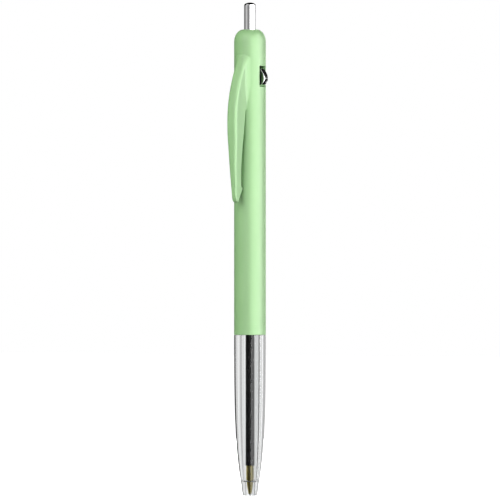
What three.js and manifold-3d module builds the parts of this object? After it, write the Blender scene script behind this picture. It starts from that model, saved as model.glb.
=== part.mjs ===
// Retractable ballpoint pen with a side release: a green upper barrel moulded in one with its clip,
// a clear front barrel that screws into it, a sprung plunger with its push button and refill, and a
// rocking steel latch that shows in a small window.
//
// Millimetres, +Z up. Inside the functions z is measured from the nose end, and the pen's long axis is
// x = y = 0. The clip is on the -X side and the window on the -Y side. The exported group is lowered by
// BALANCE_Z, so that its origin is on the axis at the centroid of the solids.

import * as THREE from 'three';
import { mergeVertices } from 'three/addons/utils/BufferGeometryUtils.js';
import Module from 'manifold-3d';

const wasm = await Module();
wasm.setup();

const BALANCE_Z = 75.5;
const ROUND_SIDES = 40;
const SMALL_SIDES = 24;
const CURVE_STEPS = 8;

// Upper barrel
const BARREL_R = 4.58;
const BARREL_BORE_R = 3.2;
const BARREL_TOP_Z = 134.2;
const SEAM_Z = 46.3;
const TOP_WALL = 1.5;
const TOP_HOLE_R = 1.85;
const TOP_FLAT_R = 2.0;
const SHOULDER_HEIGHT = 3.6;
const EDGE = 0.2;

// Window in the upper barrel
const WINDOW_HALF_WIDTH = 1.485;
const WINDOW_LOW_Z = 117.7;
const WINDOW_HIGH_Z = 123.7;

// Clip, moulded in one with the upper barrel
const CLIP_REACH = 10.11;
const CLIP_ROOT_TOP_Z = 126.3;
const CLIP_CREST_Z = 107.9;
const CLIP_GAP_TOP_Z = 110.9;
const CLIP_TOOTH_X = 4.98;
const CLIP_TOOTH_LOW_Z = 88.1;
const CLIP_TOOTH_HIGH_Z = 88.7;
const CLIP_END_Z = 84.1;
const CLIP_HALF_WIDTH = 1.65;
const CLIP_END_HALF_WIDTH = 0.8;
const CLIP_TAPER_TOP_Z = 104.0;
const CLIP_TAPER_END_Z = 87.0;

// Front barrel and nose
const SPIGOT_R = 3.02;
const THREAD_R = 3.12;
const THREAD_PITCH = 1.5;
const THREAD_TURNS = 5;
const THREAD_LOW_Z = 48.0;
const SPIGOT_TOP_Z = 58.0;
const FRONT_BORE_R = 2.5;
const FRONT_END_R = 2.68;
const FRONT_END_BORE_R = 1.7;
const NOSE_JOINT_GAP = 0.06;
const NOSE_HEIGHT = 4.4;
const NOSE_TOP_R = 2.6;
const NOSE_END_R = 1.8;
const NOSE_BORE_R = 1.25;
const NOSE_LEAD_IN = 0.4;

// Plunger and push button
const BUTTON_R = 1.7;
const BUTTON_WALL = 0.28;
const BUTTON_TOP_Z = 142.0;
const BUTTON_DOME = 0.85;
const STEM_R = 1.39;
const COLLAR_R = 2.1;
const COLLAR_TOP_Z = 132.6;
const COLLAR_HEIGHT = 1.4;
const SHAFT_R = 1.75;
const NOTCH_R = 1.3;
const NOTCH_LOW_Z = 116.0;
const NOTCH_HIGH_Z = 117.4;
const SOCKET_R = 2.4;
const SOCKET_TOP_Z = 98.3;
const SOCKET_BORE_R = 1.36;
const SPRING_COLLAR_R = 2.7;
const SPRING_COLLAR_HEIGHT = 1.6;
const PLUNGER_LOW_Z = 86.0;

// Guide sleeve, behind the window
const SLEEVE_R = 3.12;
const SLEEVE_BORE_R = 2.2;
const SLEEVE_TOP_Z = 132.4;
const SLEEVE_LOW_Z = 106.0;
const SLOT_HALF_WIDTH = 1.12;
const SLOT_LOW_Z = 111.2;
const SLOT_HIGH_Z = 124.2;

// Release latch and its pin
const LATCH_HALF_WIDTH = 1.0;
const LATCH_THICKNESS = 0.22;
const LATCH_NECK_Y = 2.84;
const PIN_R = 0.3;
const PIN_HALF_LENGTH = 1.33;
const PIN_Y = -2.4;
const PIN_Z = 117.3;
const PIN_HOLE_CLEARANCE = 0.03;

// Return spring and its seat
const SEAT_FLANGE_R = 3.05;
const SEAT_FLANGE_LOW_Z = 58.05;
const SEAT_FLANGE_TOP_Z = 59.25;
const SEAT_NECK_R = 2.4;
const SEAT_NECK_LOW_Z = 53.5;
const SEAT_BORE_R = 1.45;
const SPRING_R = 2.0;
const SPRING_WIRE_R = 0.2;
const SPRING_TURNS = 11;
const SPRING_CLOSED_TURNS = 1.5;
const SPRING_STEPS_PER_TURN = 12;

// Refill
const REFILL_R = 1.3;
const REFILL_BORE_R = 0.95;
const REFILL_LOW_Z = 8.8;
const REFILL_TOP_Z = 97.4;
const INK_R = 0.92;
const INK_TOP_Z = 88.0;
const PLUG_SHANK = 4.0;
const PLUG_HEAD = 0.6;
const PLUG_VENT_R = 0.3;
const TIP_R = 0.92;
const TIP_SHANK_TOP_Z = 12.0;
const TIP_CONE_TOP_Z = 4.3;
const TIP_COLLAR_R = 1.1;
const TIP_COLLAR_LOW_Z = 4.55;
const TIP_COLLAR_TOP_Z = 8.77;
const TIP_LIP_Z = 0.74;
const TIP_CHANNEL_R = 0.28;
const BALL_R = 0.39;
const BALL_Z = 0.95;

const FINISHES = {
  greenPlastic: { color: 0x9fd98f, roughness: 0.35, metalness: 0 },
  clearPlastic: { color: 0xf2f4f6, roughness: 0.05, metalness: 0, transparent: true, opacity: 0.35 },
  blackPlastic: { color: 0x17181a, roughness: 0.45, metalness: 0 },
  chrome: { color: 0xd8d8d8, roughness: 0.08, metalness: 1 },
  steel: { color: 0xc4c6c8, roughness: 0.22, metalness: 1 },
  brass: { color: 0xd0a94a, roughness: 0.25, metalness: 1 },
  refillPlastic: { color: 0x2a2b2d, roughness: 0.2, metalness: 0 },
  ink: { color: 0x08080a, roughness: 0.1, metalness: 0 },
  carbide: { color: 0x8a8d92, roughness: 0.15, metalness: 1 },
};

const point = (r, z) => new THREE.Vector2(r, z);

function isThin(a, b, c) {
  return a === b || b === c || a === c;
}

// A closed geometry as a solid: shared vertices are merged, and triangles that shrank to a line go.
function toSolid(geometry) {
  geometry.deleteAttribute('normal');
  geometry.deleteAttribute('uv');
  const merged = mergeVertices(geometry, 1e-5);
  const index = merged.index.array;
  const triangles = [];
  for (let i = 0; i < index.length; i += 3) {
    const [a, b, c] = index.slice(i, i + 3);
    if (!isThin(a, b, c)) triangles.push(a, b, c);
  }
  return new wasm.Manifold(new wasm.Mesh({
    numProp: 3,
    vertProperties: new Float32Array(merged.attributes.position.array),
    triVerts: new Uint32Array(triangles),
  }));
}

function toGeometry(solid) {
  const mesh = solid.getMesh();
  const geometry = new THREE.BufferGeometry();
  geometry.setAttribute('position', new THREE.BufferAttribute(mesh.vertProperties, 3));
  geometry.setIndex(new THREE.BufferAttribute(mesh.triVerts, 1));
  geometry.computeVertexNormals();
  return geometry;
}

// A turned solid about Z. The profile is (radius, height) points, counter-clockwise with the radius to
// the right. It either starts and ends on the axis or is closed here onto its first point.
function turned(profile, sides = ROUND_SIDES) {
  const onAxis = profile[0].x === 0 && profile[profile.length - 1].x === 0;
  const points = onAxis ? profile : [...profile, profile[0].clone()];
  const geometry = new THREE.LatheGeometry(points, sides);
  geometry.rotateX(Math.PI / 2);
  return toSolid(geometry);
}

// A shape in the (u, v) plane, made as thick as 2 * halfDepth about its own plane.
function slab(shape, halfDepth) {
  const geometry = new THREE.ExtrudeGeometry(shape, {
    depth: 2 * halfDepth,
    bevelEnabled: false,
    curveSegments: CURVE_STEPS,
  });
  geometry.translate(0, 0, -halfDepth);
  return geometry;
}

function block(low, high) {
  const size = high.clone().sub(low);
  const centre = low.clone().add(high).multiplyScalar(0.5);
  const geometry = new THREE.BoxGeometry(size.x, size.y, size.z);
  geometry.translate(centre.x, centre.y, centre.z);
  return toSolid(geometry);
}

function curvePoints(a, b, c, d, steps = CURVE_STEPS) {
  return new THREE.CubicBezierCurve(a, b, c, d).getPoints(steps);
}

// A quarter of an ellipse about (r, z), from its outermost point up to its highest.
function roundedTop(r, z, width, height, steps) {
  const points = [];
  for (let i = 0; i <= steps; i += 1) {
    const angle = (Math.PI / 2) * (i / steps);
    points.push(point(r + width * Math.cos(angle), z + height * Math.sin(angle)));
  }
  return points;
}

function barrelTube() {
  const shoulder = roundedTop(
    TOP_FLAT_R, BARREL_TOP_Z - SHOULDER_HEIGHT, BARREL_R - TOP_FLAT_R, SHOULDER_HEIGHT, CURVE_STEPS,
  );
  return turned([
    point(BARREL_BORE_R, SEAM_Z),
    point(BARREL_R - EDGE / 2, SEAM_Z),
    point(BARREL_R, SEAM_Z + EDGE / 2),
    ...shoulder,
    point(TOP_HOLE_R, BARREL_TOP_Z),
    point(TOP_HOLE_R, BARREL_TOP_Z - TOP_WALL),
    point(BARREL_BORE_R, BARREL_TOP_Z - TOP_WALL),
  ]);
}

// The clip from the side, with u the distance from the pen's axis and v the height.
function clipSideShape() {
  const shape = new THREE.Shape();
  shape.moveTo(BARREL_BORE_R + 0.6, CLIP_ROOT_TOP_Z + 0.2);
  shape.lineTo(BARREL_R, CLIP_ROOT_TOP_Z);
  shape.bezierCurveTo(6.6, 121.8, 10.0, 116.5, CLIP_REACH, CLIP_CREST_Z);
  shape.bezierCurveTo(CLIP_REACH, 101.5, 9.3, 92.0, 8.64, 86.3);
  shape.bezierCurveTo(8.4, 84.4, 7.4, 83.5, 6.77, CLIP_END_Z + 0.95);
  shape.lineTo(CLIP_TOOTH_X, CLIP_TOOTH_LOW_Z);
  shape.lineTo(CLIP_TOOTH_X, CLIP_TOOTH_HIGH_Z);
  shape.lineTo(5.62, CLIP_TOOTH_HIGH_Z + 0.3);
  shape.bezierCurveTo(6.35, 93.0, 6.3, 99.0, 5.2, 106.8);
  shape.lineTo(BARREL_R, CLIP_GAP_TOP_Z);
  shape.lineTo(BARREL_BORE_R + 0.6, CLIP_GAP_TOP_Z + 0.2);
  shape.closePath();
  return shape;
}

// The clip seen along X, with u across it and v the height.
function clipFrontShape() {
  const shape = new THREE.Shape();
  const archStart = CLIP_ROOT_TOP_Z - CLIP_HALF_WIDTH + 0.3;
  shape.moveTo(-CLIP_HALF_WIDTH, CLIP_TAPER_TOP_Z);
  shape.lineTo(-CLIP_END_HALF_WIDTH, CLIP_TAPER_END_Z);
  shape.absarc(0, CLIP_END_Z + CLIP_END_HALF_WIDTH, CLIP_END_HALF_WIDTH, Math.PI, 2 * Math.PI, false);
  shape.lineTo(CLIP_END_HALF_WIDTH, CLIP_TAPER_END_Z);
  shape.lineTo(CLIP_HALF_WIDTH, CLIP_TAPER_TOP_Z);
  shape.absarc(0, archStart, CLIP_HALF_WIDTH, 0, Math.PI, false);
  shape.closePath();
  return shape;
}

// Both outlines extruded across each other and intersected give the clip's body.
function clipBody() {
  const side = slab(clipSideShape(), CLIP_HALF_WIDTH + 1);
  side.rotateX(Math.PI / 2);
  side.rotateZ(Math.PI);
  const front = slab(clipFrontShape(), CLIP_REACH + 1);
  front.rotateX(Math.PI / 2);
  front.rotateZ(Math.PI / 2);
  return toSolid(side).intersect(toSolid(front));
}

function upperBarrel() {
  const boreClear = turned([
    point(0, SEAM_Z - 1),
    point(BARREL_BORE_R, SEAM_Z - 1),
    point(BARREL_BORE_R, BARREL_TOP_Z - TOP_WALL),
    point(0, BARREL_TOP_Z - TOP_WALL),
  ]);
  const window = block(
    new THREE.Vector3(-WINDOW_HALF_WIDTH, -BARREL_R - 1, WINDOW_LOW_Z),
    new THREE.Vector3(WINDOW_HALF_WIDTH, -1, WINDOW_HIGH_Z),
  );
  return barrelTube().add(clipBody()).subtract(boreClear).subtract(window);
}

// Low ridges stand for the screw thread on the front barrel's spigot.
function threadRidges() {
  const points = [];
  for (let turn = 0; turn < THREAD_TURNS; turn += 1) {
    const z = THREAD_LOW_Z + turn * THREAD_PITCH;
    points.push(point(SPIGOT_R, z), point(THREAD_R, z + 0.3));
    points.push(point(THREAD_R, z + 0.6), point(SPIGOT_R, z + 0.9));
  }
  return points;
}

function frontBarrel() {
  const endZ = NOSE_HEIGHT + NOSE_JOINT_GAP;
  const shoulderZ = SEAM_Z - 0.05;
  const outside = curvePoints(
    point(FRONT_END_R, endZ), point(4.65, 15.5), point(4.52, 31), point(BARREL_R - 0.02, shoulderZ), 12,
  );
  const inside = curvePoints(
    point(FRONT_BORE_R, shoulderZ), point(FRONT_BORE_R, 30), point(2.45, 13), point(FRONT_END_BORE_R, endZ), 6,
  );
  return turned([
    ...outside,
    point(SPIGOT_R, shoulderZ),
    ...threadRidges(),
    point(SPIGOT_R, SPIGOT_TOP_Z - EDGE),
    point(SPIGOT_R - EDGE, SPIGOT_TOP_Z),
    point(FRONT_BORE_R, SPIGOT_TOP_Z),
    ...inside.slice(0, -1),
    point(FRONT_END_BORE_R, endZ),
  ]);
}

function noseCone() {
  const outside = curvePoints(
    point(NOSE_END_R, 0), point(2.2, 0.05), point(2.3, 1.6), point(NOSE_TOP_R, NOSE_HEIGHT),
  );
  return turned([
    point(NOSE_BORE_R, 0),
    ...outside,
    point(NOSE_BORE_R + NOSE_LEAD_IN, NOSE_HEIGHT),
    point(NOSE_BORE_R, NOSE_HEIGHT - NOSE_LEAD_IN),
  ]);
}

function pushButton() {
  const dome = roundedTop(0, BUTTON_TOP_Z - BUTTON_DOME, BUTTON_R, BUTTON_DOME, 8);
  dome[dome.length - 1].x = 0;
  const low = COLLAR_TOP_Z + 0.05;
  const inner = BUTTON_R - BUTTON_WALL;
  return turned([
    point(inner, low),
    point(BUTTON_R, low),
    ...dome,
    point(0, BUTTON_TOP_Z - BUTTON_DOME),
    point(inner, BUTTON_TOP_Z - BUTTON_DOME),
  ]);
}

function plunger() {
  const collarLow = COLLAR_TOP_Z - COLLAR_HEIGHT;
  return turned([
    point(SOCKET_BORE_R, PLUNGER_LOW_Z),
    point(SPRING_COLLAR_R, PLUNGER_LOW_Z),
    point(SPRING_COLLAR_R, PLUNGER_LOW_Z + SPRING_COLLAR_HEIGHT),
    point(SOCKET_R, PLUNGER_LOW_Z + SPRING_COLLAR_HEIGHT + EDGE),
    point(SOCKET_R, SOCKET_TOP_Z + 0.7),
    point(SHAFT_R, SOCKET_TOP_Z + 2.2),
    point(SHAFT_R, NOTCH_LOW_Z),
    point(NOTCH_R, NOTCH_LOW_Z),
    point(NOTCH_R, NOTCH_HIGH_Z - 0.5),
    point(SHAFT_R, NOTCH_HIGH_Z),
    point(SHAFT_R, collarLow - 0.3),
    point(COLLAR_R, collarLow),
    point(COLLAR_R, COLLAR_TOP_Z),
    point(STEM_R, COLLAR_TOP_Z),
    point(STEM_R, BUTTON_TOP_Z - BUTTON_DOME - 0.1),
    point(0, BUTTON_TOP_Z - BUTTON_DOME - 0.1),
    point(0, SOCKET_TOP_Z),
    point(SOCKET_BORE_R, SOCKET_TOP_Z),
  ]);
}

// A round bar along X, centred at (0, y, z).
function crossBar(radius, halfLength, y, z) {
  const geometry = new THREE.CylinderGeometry(radius, radius, 2 * halfLength, SMALL_SIDES);
  geometry.rotateZ(Math.PI / 2);
  geometry.translate(0, y, z);
  return toSolid(geometry);
}

function guideSleeve() {
  const tube = turned([
    point(SLEEVE_BORE_R, SLEEVE_LOW_Z),
    point(SLEEVE_R - EDGE, SLEEVE_LOW_Z),
    point(SLEEVE_R, SLEEVE_LOW_Z + EDGE),
    point(SLEEVE_R, SLEEVE_TOP_Z),
    point(SLEEVE_BORE_R, SLEEVE_TOP_Z),
  ]);
  const slot = block(
    new THREE.Vector3(-SLOT_HALF_WIDTH, -SLEEVE_R - 1, SLOT_LOW_Z),
    new THREE.Vector3(SLOT_HALF_WIDTH, 0, SLOT_HIGH_Z),
  );
  const pinHole = crossBar(PIN_R + PIN_HOLE_CLEARANCE, SLEEVE_R, PIN_Y, PIN_Z);
  return tube.subtract(slot).subtract(pinHole);
}

const latchPin = () => crossBar(PIN_R, PIN_HALF_LENGTH, PIN_Y, PIN_Z);

// The latch's middle line in the (distance from the axis, height) plane: a free end in the window, the
// bulge that a finger presses, the way back in round the window's lower edge, a straight stretch over the
// pin, and a tail that ends in the hook for the plunger's notch.
function latchPath() {
  const path = new THREE.CurvePath();
  const cornerZ = WINDOW_LOW_Z + 0.22;
  path.add(new THREE.LineCurve(point(4.07, 122.95), point(4.95, 121.3)));
  path.add(new THREE.CubicBezierCurve(
    point(4.95, 121.3), point(5.35, 120.55), point(5.75, 119.45), point(5.1, 118.7),
  ));
  path.add(new THREE.CubicBezierCurve(
    point(5.1, 118.7), point(4.65, 118.2), point(3.8, cornerZ), point(3.06, cornerZ),
  ));
  path.add(new THREE.CubicBezierCurve(
    point(3.06, cornerZ), point(2.92, cornerZ), point(LATCH_NECK_Y, 117.85), point(LATCH_NECK_Y, 117.7),
  ));
  path.add(new THREE.LineCurve(point(LATCH_NECK_Y, 117.7), point(LATCH_NECK_Y, 117.0)));
  path.add(new THREE.CubicBezierCurve(
    point(LATCH_NECK_Y, 117.0), point(LATCH_NECK_Y, 115.6), point(2.2, 114.4), point(2.2, 112.9),
  ));
  path.add(new THREE.CubicBezierCurve(
    point(2.2, 112.9), point(2.2, 112.5), point(2.15, 112.2), point(1.9, 112.05),
  ));
  return path;
}

// Offsets a middle line to both sides, for a strip of even thickness.
function stripShape(path, thickness) {
  const middle = path.getPoints(5).filter((p, i, all) => i === 0 || p.distanceTo(all[i - 1]) > 1e-4);
  const side = (sign) => middle.map((p, i) => {
    const before = middle[Math.max(i - 1, 0)];
    const after = middle[Math.min(i + 1, middle.length - 1)];
    const along = after.clone().sub(before).normalize();
    return point(p.x - sign * along.y * (thickness / 2), p.y + sign * along.x * (thickness / 2));
  });
  return new THREE.Shape([...side(1), ...side(-1).reverse()]);
}

function releaseLatch() {
  const geometry = slab(stripShape(latchPath(), LATCH_THICKNESS), LATCH_HALF_WIDTH);
  geometry.rotateX(Math.PI / 2);
  geometry.rotateZ(-Math.PI / 2);
  return toSolid(geometry);
}

// The spring's wire: a helix whose end turns lie close together.
class SpringPath extends THREE.Curve {
  getPoint(t, target = new THREE.Vector3()) {
    const low = SEAT_FLANGE_TOP_Z + SPRING_WIRE_R + 0.05;
    const high = PLUNGER_LOW_Z - SPRING_WIRE_R - 0.05;
    const closedRise = SPRING_CLOSED_TURNS * SPRING_WIRE_R * 2.3;
    const share = SPRING_CLOSED_TURNS / SPRING_TURNS;
    let z = low + closedRise + ((high - low - 2 * closedRise) * (t - share)) / (1 - 2 * share);
    if (t < share) z = low + (closedRise * t) / share;
    if (t > 1 - share) z = high - (closedRise * (1 - t)) / share;
    const angle = 2 * Math.PI * SPRING_TURNS * t;
    return target.set(SPRING_R * Math.cos(angle), SPRING_R * Math.sin(angle), z);
  }
}

function returnSpring() {
  const wire = new THREE.Shape();
  wire.absarc(0, 0, SPRING_WIRE_R, 0, 2 * Math.PI, false);
  const geometry = new THREE.ExtrudeGeometry(wire, {
    steps: SPRING_TURNS * SPRING_STEPS_PER_TURN,
    extrudePath: new SpringPath(),
    curveSegments: 3,
    bevelEnabled: false,
  });
  return toSolid(geometry);
}

function springSeat() {
  return turned([
    point(SEAT_BORE_R, SEAT_NECK_LOW_Z),
    point(SEAT_NECK_R, SEAT_NECK_LOW_Z),
    point(SEAT_NECK_R, SEAT_FLANGE_LOW_Z),
    point(SEAT_FLANGE_R, SEAT_FLANGE_LOW_Z),
    point(SEAT_FLANGE_R, SEAT_FLANGE_TOP_Z),
    point(SEAT_BORE_R, SEAT_FLANGE_TOP_Z),
  ]);
}

function refillTube() {
  return turned([
    point(REFILL_BORE_R, REFILL_LOW_Z),
    point(REFILL_R, REFILL_LOW_Z),
    point(REFILL_R, REFILL_TOP_Z),
    point(REFILL_BORE_R, REFILL_TOP_Z),
  ], SMALL_SIDES);
}

function inkColumn() {
  return turned([
    point(0, TIP_SHANK_TOP_Z + 0.1),
    point(INK_R, TIP_SHANK_TOP_Z + 0.1),
    point(INK_R, INK_TOP_Z),
    point(INK_R / 2, INK_TOP_Z - 0.3),
    point(0, INK_TOP_Z - 0.4),
  ], SMALL_SIDES);
}

function refillPlug() {
  return turned([
    point(PLUG_VENT_R, REFILL_TOP_Z - PLUG_SHANK),
    point(INK_R, REFILL_TOP_Z - PLUG_SHANK),
    point(INK_R, REFILL_TOP_Z + 0.03),
    point(REFILL_R, REFILL_TOP_Z + 0.03),
    point(REFILL_R, REFILL_TOP_Z + PLUG_HEAD),
    point(PLUG_VENT_R, REFILL_TOP_Z + PLUG_HEAD),
  ], SMALL_SIDES);
}

// The brass tip: a shank in the refill tube, a plain length, a cone to the lip that holds the ball, and
// the ink channel through to the ball's seat.
function tipHolder() {
  const cone = curvePoints(
    point(0.47, TIP_LIP_Z), point(0.62, 1.9), point(TIP_R, 3.0), point(TIP_R, TIP_CONE_TOP_Z), 8,
  );
  return turned([
    point(BALL_R - 0.01, TIP_LIP_Z),
    ...cone,
    point(TIP_COLLAR_R, TIP_COLLAR_LOW_Z),
    point(TIP_COLLAR_R, TIP_COLLAR_TOP_Z),
    point(TIP_R, TIP_COLLAR_TOP_Z),
    point(TIP_R, TIP_SHANK_TOP_Z),
    point(TIP_CHANNEL_R, TIP_SHANK_TOP_Z),
    point(TIP_CHANNEL_R, BALL_Z + BALL_R + 0.1),
    point(BALL_R + 0.04, BALL_Z + 0.25),
    point(BALL_R + 0.04, BALL_Z),
  ], SMALL_SIDES);
}

function writingBall() {
  const geometry = new THREE.SphereGeometry(BALL_R, 16, 12);
  geometry.rotateX(Math.PI / 2);
  geometry.translate(0, 0, BALL_Z);
  return toSolid(geometry);
}

function part(name, solid, finish) {
  const mesh = new THREE.Mesh(toGeometry(solid), new THREE.MeshStandardMaterial(FINISHES[finish]));
  mesh.name = name;
  return mesh;
}

const pen = new THREE.Group();
pen.add(
  part('upper_barrel', upperBarrel(), 'greenPlastic'),
  part('guide_sleeve', guideSleeve(), 'blackPlastic'),
  part('latch_pin', latchPin(), 'steel'),
  part('release_latch', releaseLatch(), 'steel'),
  part('push_button', pushButton(), 'chrome'),
  part('plunger', plunger(), 'blackPlastic'),
  part('return_spring', returnSpring(), 'steel'),
  part('spring_seat', springSeat(), 'blackPlastic'),
  part('front_barrel', frontBarrel(), 'clearPlastic'),
  part('nose_cone', noseCone(), 'clearPlastic'),
  part('refill_tube', refillTube(), 'refillPlastic'),
  part('ink_column', inkColumn(), 'ink'),
  part('refill_plug', refillPlug(), 'blackPlastic'),
  part('tip_holder', tipHolder(), 'brass'),
  part('writing_ball', writingBall(), 'carbide'),
);
pen.position.z = -BALANCE_Z;

export default pen;
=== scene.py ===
import math

import bmesh
import bpy
import numpy as np
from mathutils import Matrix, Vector


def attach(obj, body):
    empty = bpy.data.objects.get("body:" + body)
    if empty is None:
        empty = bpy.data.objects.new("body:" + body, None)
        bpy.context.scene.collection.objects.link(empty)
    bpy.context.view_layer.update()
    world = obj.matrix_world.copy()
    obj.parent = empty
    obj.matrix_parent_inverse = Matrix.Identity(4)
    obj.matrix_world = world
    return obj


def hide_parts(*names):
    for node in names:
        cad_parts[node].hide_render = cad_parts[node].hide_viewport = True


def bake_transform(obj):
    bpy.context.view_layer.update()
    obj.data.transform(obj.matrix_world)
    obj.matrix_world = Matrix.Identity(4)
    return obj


# Click pen with a side release. Lengths are millimetres with z measured from the nose end, and
# mesh_object() turns them into metres in the frame. The clip is on the -X side, the window on -Y.

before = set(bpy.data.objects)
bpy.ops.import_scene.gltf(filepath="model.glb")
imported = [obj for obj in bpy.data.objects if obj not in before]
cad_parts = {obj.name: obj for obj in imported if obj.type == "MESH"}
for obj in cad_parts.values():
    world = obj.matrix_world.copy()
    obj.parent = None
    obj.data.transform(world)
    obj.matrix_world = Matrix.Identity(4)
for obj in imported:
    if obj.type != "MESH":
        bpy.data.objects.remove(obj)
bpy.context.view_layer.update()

MILLIMETRE = 0.001
BALANCE_Z = 75.5
SIDES = 160

# Upper barrel and window
BARREL_R = 4.58
BARREL_BORE_R = 3.2
BARREL_TOP_Z = 134.2
SEAM_Z = 46.3
TOP_WALL = 1.5
TOP_HOLE_R = 1.85
TOP_FLAT_R = 2.0
SHOULDER_HEIGHT = 3.6
WINDOW_HALF_WIDTH = 1.485
WINDOW_LOW_Z = 117.7
WINDOW_HIGH_Z = 123.7

# Clip
CLIP_HALF_WIDTH = 1.65
CLIP_END_HALF_WIDTH = 0.8
CLIP_TAPER_TOP_Z = 104.0
CLIP_TAPER_END_Z = 87.0
CLIP_END_Z = 84.1
CLIP_ARCH_Z = 125.2
CLIP_CROWN = 0.1
CLIP_OUTER_EDGE = 0.9
CLIP_INNER_EDGE = 0.45
CLIP_BURIED_X = 3.8
CLIP_ROOT_Z = 126.3
CLIP_REACH = 10.11
CLIP_CREST_Z = 107.9
CLIP_FILLET = 1.2
CLIP_FILLET_LEAST = 0.05
CLIP_FILLET_LOW_Z = 111.5
CLIP_FILLET_HIGH_Z = 117.5
CLIP_NEAR_X = -3.6
CLIP_NEAR_Z = 82.0

# Front barrel and nose
SPIGOT_R = 3.02
THREAD_HEIGHT = 0.1
THREAD_PITCH = 1.5
THREAD_LOW_Z = 48.0
THREAD_HIGH_Z = 55.4
SPIGOT_TOP_Z = 58.0
FRONT_BORE_R = 2.5
FRONT_END_R = 2.68
FRONT_END_BORE_R = 1.7
FRONT_END_Z = 4.46
RIB_PITCH = 0.8
RIB_DEPTH = 0.016
NOSE_HEIGHT = 4.4
JOINT_CHAMFER = 0.14
NOSE_TOP_R = 2.6
NOSE_END_R = 1.8
NOSE_BORE_R = 1.25

# Plunger and push button
BUTTON_R = 1.7
BUTTON_WALL = 0.28
BUTTON_TOP_Z = 142.0
BUTTON_DOME = 0.85
COLLAR_TOP_Z = 132.6
PLUNGER_LOW_Z = 86.0
PLUNGER_R = 1.75
PLUNGER_SOCKET_R = 1.36
PLUNGER_SOCKET_TOP_Z = 98.3
PLUNGER_FOOT_R = 2.7
PLUNGER_SKIRT_R = 2.4
PLUNGER_NOTCH_R = 1.3
PLUNGER_NOTCH_LOW_Z = 116.0
PLUNGER_COLLAR_R = 2.1
PLUNGER_STEM_R = 1.39

# Guide sleeve, latch and pin
SLEEVE_R = 3.12
SLEEVE_BORE_R = 2.2
SLEEVE_LOW_Z = 106.0
SLEEVE_TOP_Z = 132.4
SLOT_HALF_WIDTH = 1.12
SLOT_LOW_Z = 111.2
SLOT_HIGH_Z = 124.2
LATCH_HALF_WIDTH = 1.0
LATCH_THICKNESS = 0.22
PIN_R = 0.3
PIN_HALF_LENGTH = 1.33
PIN_Y = -2.4
PIN_Z = 117.3
PIN_HOLE_R = 0.33

# Return spring and seat
SEAT_FLANGE_TOP_Z = 59.25
SPRING_R = 2.0
SPRING_WIRE_R = 0.2
SPRING_TURNS = 11
SPRING_CLOSED_TURNS = 1.5

# Refill
REFILL_R = 1.3
REFILL_BORE_R = 0.95
REFILL_LOW_Z = 8.8
REFILL_TOP_Z = 97.4
INK_R = 0.92
INK_LOW_Z = 12.1
INK_TOP_Z = 88.0
TIP_R = 0.92
TIP_LIP_Z = 0.74
TIP_CONE_TOP_Z = 4.3
TIP_COLLAR_R = 1.1
TIP_COLLAR_LOW_Z = 4.55
TIP_COLLAR_TOP_Z = 8.77
TIP_SHANK_TOP_Z = 12.0
TIP_CHANNEL_R = 0.28
BALL_R = 0.39
BALL_Z = 0.95

# Camera, studio and floor, in metres and degrees, with the floor's depth in millimetres
CAMERA_AZIMUTH = -57.0
CAMERA_DISTANCE = 2.0
CAMERA_LENS = 500.0
AIM_Z = -0.00477
LIGHT_DISTANCE = 1.0
CARD_DISTANCE = 0.6
CARD_STEP = 0.005
FLOOR_DEPTH = 14.0
FLOOR_Z = -(BALANCE_Z + FLOOR_DEPTH) * MILLIMETRE


# ---------------------------------------------------------------- shape helpers

def bezier(a, b, c, d, steps=60):
    t = np.linspace(0, 1, steps + 1)[:, None]
    a, b, c, d = (np.array(p, float) for p in (a, b, c, d))
    return (1 - t) ** 3 * a + 3 * (1 - t) ** 2 * t * b + 3 * (1 - t) * t ** 2 * c + t ** 3 * d


def quarter_ellipse(r, z, width, height, steps=32):
    """From the outermost point of an ellipse about (r, z) up to its highest."""
    angle = np.linspace(0, math.pi / 2, steps + 1)
    return np.column_stack([r + width * np.cos(angle), z + height * np.sin(angle)])


def joined(*parts):
    """One polyline from several, without points that repeat."""
    points = np.vstack([np.atleast_2d(np.array(p, float)) for p in parts])
    step = np.linalg.norm(np.diff(points, axis=0), axis=1)
    return points[np.concatenate([[True], step > 1e-6])]


def rounded(points, radius, closed=True, steps=5):
    """Each real corner becomes a small arc. The points of a smooth curve stay as they are."""
    result = []
    count = len(points)
    for i, p in enumerate(points):
        if not closed and i in (0, count - 1):
            result.append(p)
            continue
        to_last = points[i - 1] - p
        to_next = points[(i + 1) % count] - p
        last_length = np.linalg.norm(to_last)
        next_length = np.linalg.norm(to_next)
        to_last = to_last / last_length
        to_next = to_next / next_length
        turn = math.pi - math.acos(np.clip(to_last @ to_next, -1, 1))
        if turn < math.radians(20):
            result.append(p)
            continue
        cut = min(radius * math.tan(turn / 2), 0.45 * last_length, 0.45 * next_length)
        for s in np.linspace(0, 1, steps + 1):
            start = p + to_last * cut
            end = p + to_next * cut
            result.append((1 - s) ** 2 * start + 2 * s * (1 - s) * p + s * s * end)
    return np.array(result)


def mesh_object(name, vertices, faces, normals=None):
    """A smooth-shaded object from millimetre points, moved into the frame."""
    placed = (np.asarray(vertices, float) - [0, 0, BALANCE_Z]) * MILLIMETRE
    mesh = bpy.data.meshes.new(name)
    mesh.from_pydata(placed.tolist(), [], [list(map(int, f)) for f in faces])
    mesh.update()
    if normals is None:
        weld_and_turn_outwards(mesh)
    mesh.shade_smooth()
    if normals is not None:
        mesh.normals_split_custom_set_from_vertices(normals.tolist())
    obj = bpy.data.objects.new(name, mesh)
    bpy.context.scene.collection.objects.link(obj)
    if normals is None:
        modifier = obj.modifiers.new("even_shading", "WEIGHTED_NORMAL")
        modifier.weight = 80
    return obj


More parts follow.
